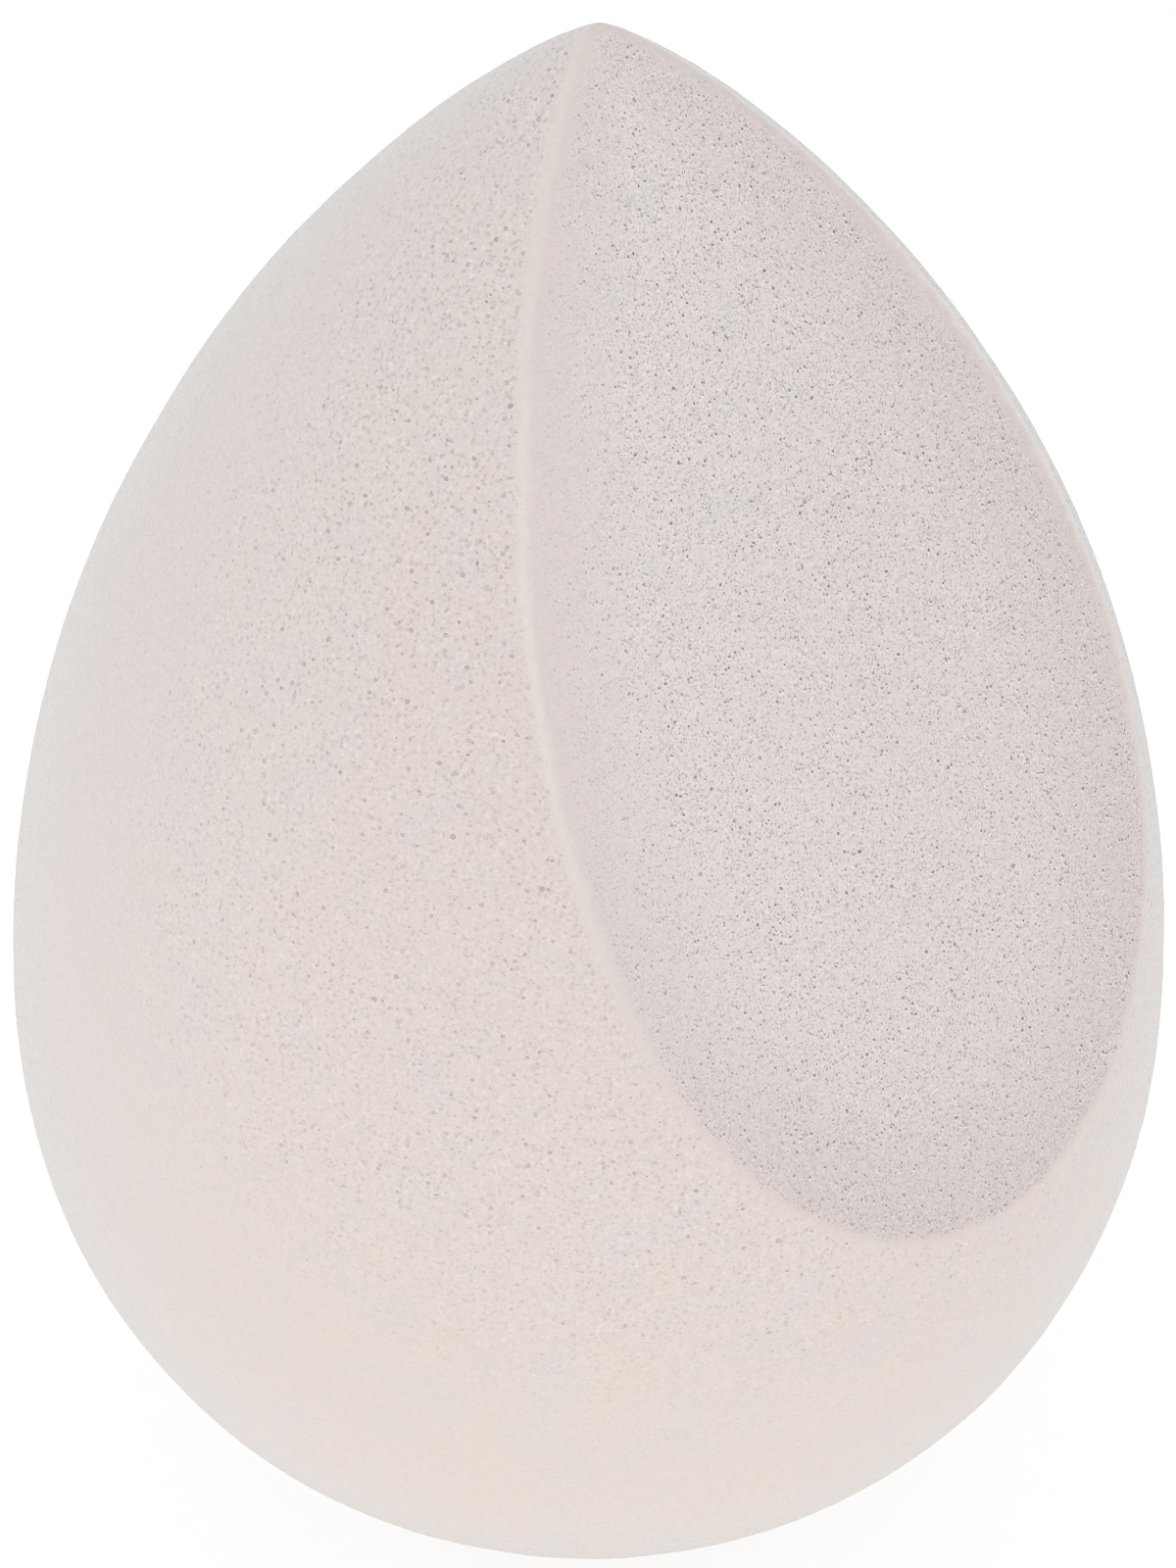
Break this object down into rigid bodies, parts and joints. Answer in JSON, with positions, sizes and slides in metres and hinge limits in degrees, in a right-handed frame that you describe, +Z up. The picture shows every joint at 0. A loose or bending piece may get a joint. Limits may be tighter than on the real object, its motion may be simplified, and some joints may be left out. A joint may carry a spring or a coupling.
{
  "type": "makeup sponge",
  "caption": "Soft foam makeup sponge: a teardrop that stands on its round end, with a pointed tip and a slanted flat face cut down its front.",
  "frame": {"origin": "middle of the flat foot, at the bottom of the sponge, on the drop's upright axis", "axes": "+Z up from the foot to the tip along the drop's axis; -Y out of the front, where the slanted cut face is; X across, and the sponge is alike on both sides of X = 0"},
  "size_m": [0.04, 0.04, 0.0594],
  "materials": {
    "foam": "matt soft open-cell foam, pale pinkish beige, fine pores that are denser on the cut face"
  },
  "bodies": {
    "root": {"foam_body": "foam"}
  },
  "joints": []
}
